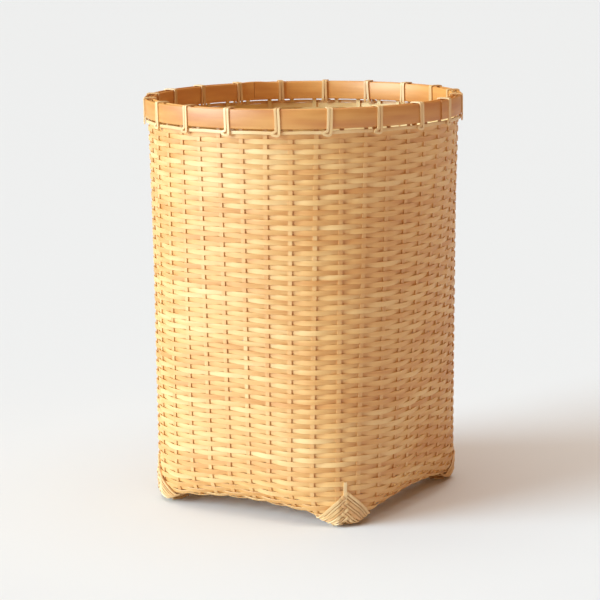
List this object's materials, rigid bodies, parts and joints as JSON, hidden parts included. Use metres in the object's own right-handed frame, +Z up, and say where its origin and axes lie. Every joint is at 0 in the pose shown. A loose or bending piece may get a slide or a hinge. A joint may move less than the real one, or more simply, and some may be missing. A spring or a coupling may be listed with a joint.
{
  "type": "wastebasket",
  "caption": "Woven split-bamboo wastebasket, square at the foot and round at the rim, with lashed rim hoops and laced corner feet.",
  "frame": {"origin": "on the floor under the middle of the basket", "axes": "+Z up to the rim, X and Y along the sides of the square base"},
  "size_m": [0.2498, 0.2498, 0.3182],
  "materials": {
    "weft_bamboo": "split bamboo, smooth and a little glossy on the skin side",
    "stake_bamboo": "split bamboo, satin",
    "hoop_bamboo": "wide planed bamboo band, satin with fine lengthways grain",
    "lashing_bamboo": "thin peeled bamboo strip, paler, smooth"
  },
  "bodies": {
    "root": {"weft_course_01": "weft_bamboo", "weft_course_02": "weft_bamboo", "weft_course_03": "weft_bamboo", "weft_course_04": "weft_bamboo", "weft_course_05": "weft_bamboo", "weft_course_06": "weft_bamboo", "weft_course_07": "weft_bamboo", "weft_course_08": "weft_bamboo", "weft_course_09": "weft_bamboo", "weft_course_10": "weft_bamboo", "weft_course_11": "weft_bamboo", "weft_course_12": "weft_bamboo", "weft_course_13": "weft_bamboo", "weft_course_14": "weft_bamboo", "weft_course_15": "weft_bamboo", "weft_course_16": "weft_bamboo", "weft_course_17": "weft_bamboo", "weft_course_18": "weft_bamboo", "weft_course_19": "weft_bamboo", "weft_course_20": "weft_bamboo", "weft_course_21": "weft_bamboo", "weft_course_22": "weft_bamboo", "weft_course_23": "weft_bamboo", "weft_course_24": "weft_bamboo", "weft_course_25": "weft_bamboo", "weft_course_26": "weft_bamboo", "weft_rim": "weft_bamboo", "stake_x_01": "stake_bamboo", "stake_x_02": "stake_bamboo", "stake_x_03": "stake_bamboo", "stake_x_04": "stake_bamboo", "stake_x_05": "stake_bamboo", "stake_x_06": "stake_bamboo", "stake_x_07": "stake_bamboo", "stake_x_08": "stake_bamboo", "stake_x_09": "stake_bamboo", "stake_x_10": "stake_bamboo", "stake_y_01": "stake_bamboo", "stake_y_02": "stake_bamboo", "stake_y_03": "stake_bamboo", "stake_y_04": "stake_bamboo", "stake_y_05": "stake_bamboo", "stake_y_06": "stake_bamboo", "stake_y_07": "stake_bamboo", "stake_y_08": "stake_bamboo", "stake_y_09": "stake_bamboo", "stake_y_10": "stake_bamboo", "rim_outer_hoop": "hoop_bamboo", "rim_inner_hoop": "hoop_bamboo", "rim_lashing": "lashing_bamboo", "foot_lacing_1": "lashing_bamboo", "foot_lacing_2": "lashing_bamboo", "foot_lacing_3": "lashing_bamboo", "foot_lacing_4": "lashing_bamboo"}
  },
  "joints": []
}
